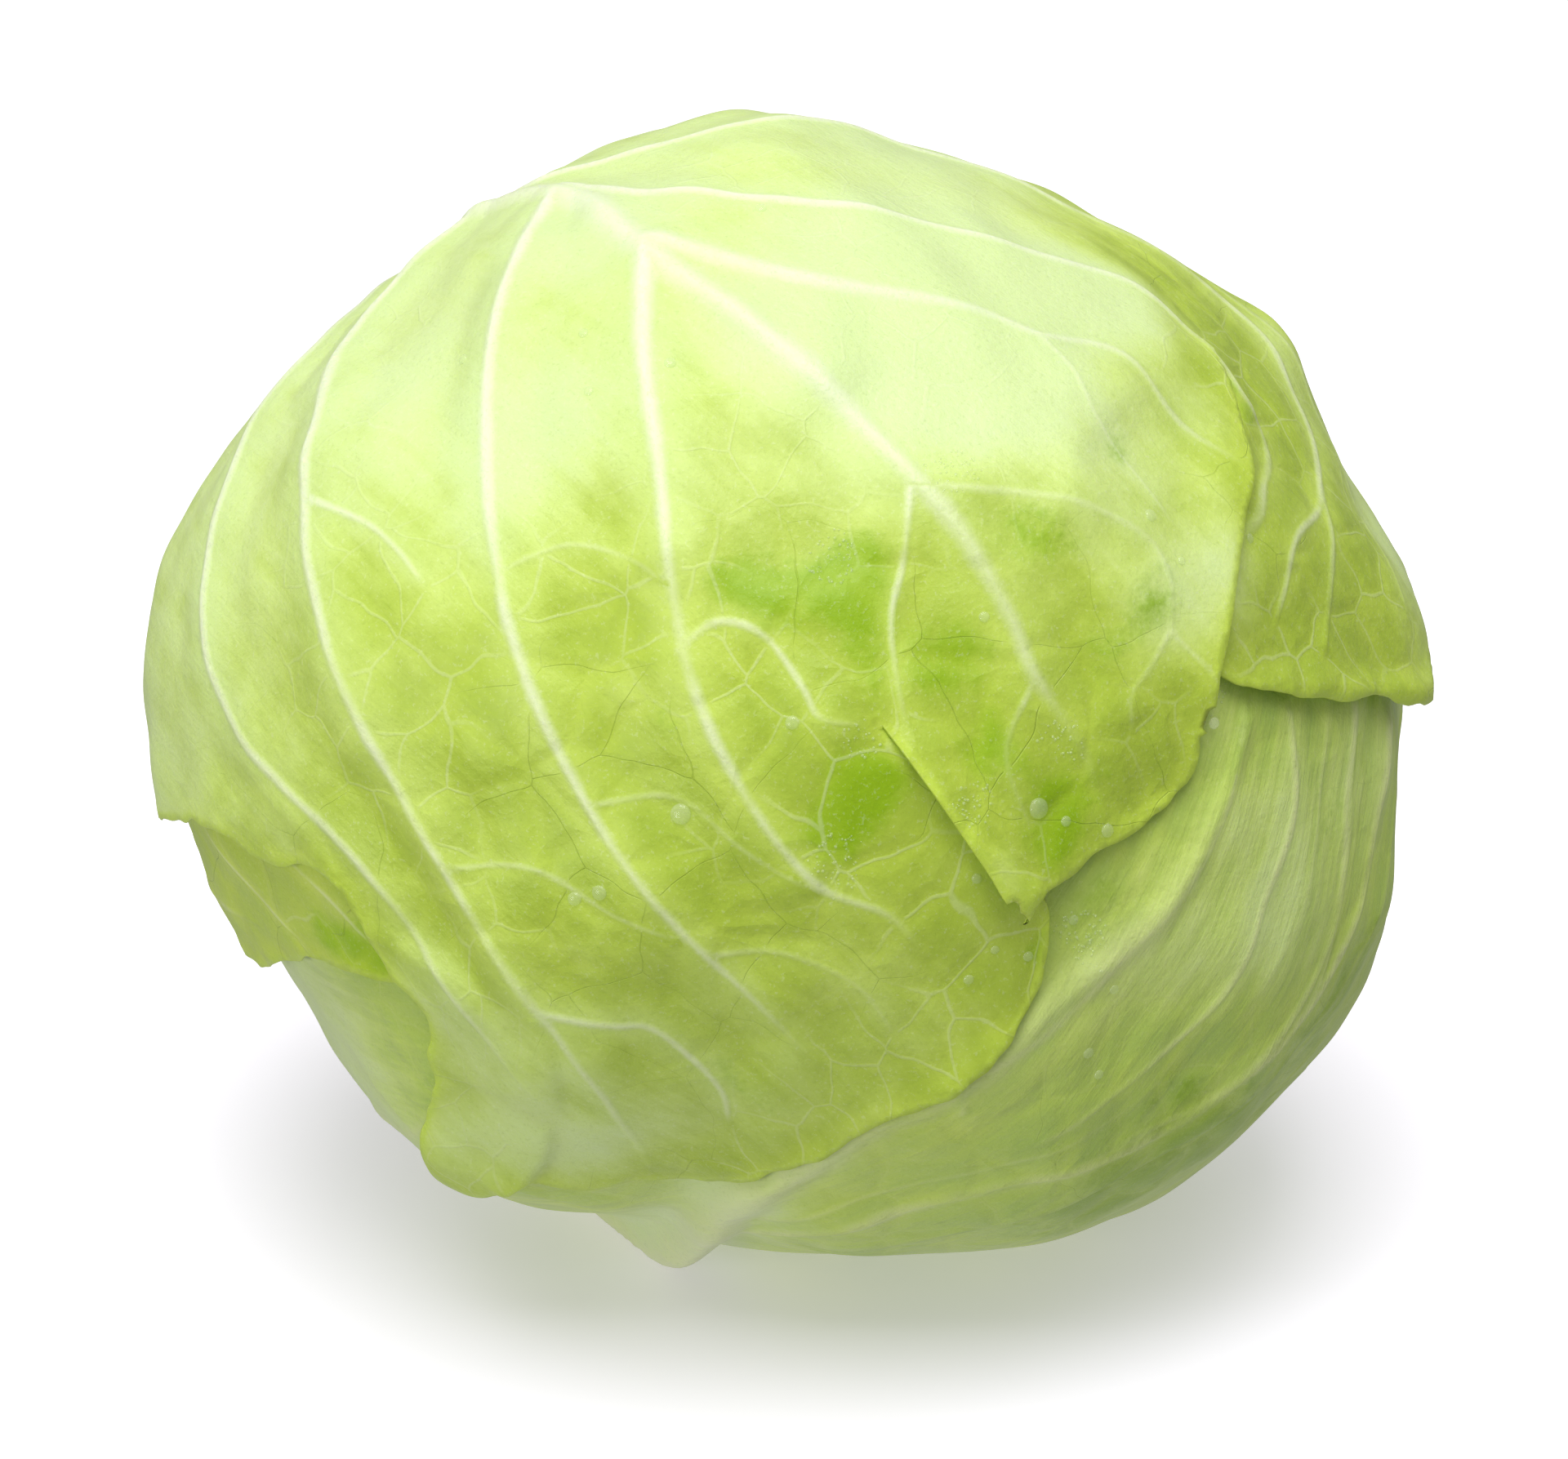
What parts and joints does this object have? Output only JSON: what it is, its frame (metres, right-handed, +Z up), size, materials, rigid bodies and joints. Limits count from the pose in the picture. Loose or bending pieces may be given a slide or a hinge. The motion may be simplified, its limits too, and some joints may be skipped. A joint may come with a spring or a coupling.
{
  "type": "cabbage head",
  "caption": "Whole green cabbage head lying on its side: a ball of inner leaves in overlapping ribbed wrapper leaves, with a cut stalk at the back",
  "frame": {"origin": "middle of the small flat spot that the head rests on", "axes": "+Z is up, the free edges of the front leaf face -Y, and the cut stalk points to the back left, between -X and +Y"},
  "size_m": [0.1776, 0.1631, 0.1613],
  "materials": {
    "heart": "pale waxy inner leaf",
    "leaf_inner": "waxy leaf, soft sheen",
    "leaf_back": "waxy leaf, soft sheen",
    "leaf_low": "waxy leaf, cooler green, soft sheen",
    "leaf_left": "waxy leaf, soft sheen",
    "leaf_front": "waxy leaf, soft sheen, with water drops",
    "stalk": "moist fibrous cut stem"
  },
  "bodies": {
    "root": {"heart": "heart", "leaf_inner": "leaf_inner", "leaf_back": "leaf_back", "leaf_low": "leaf_low", "leaf_left": "leaf_left", "leaf_front": "leaf_front", "stalk": "stalk"}
  },
  "joints": []
}
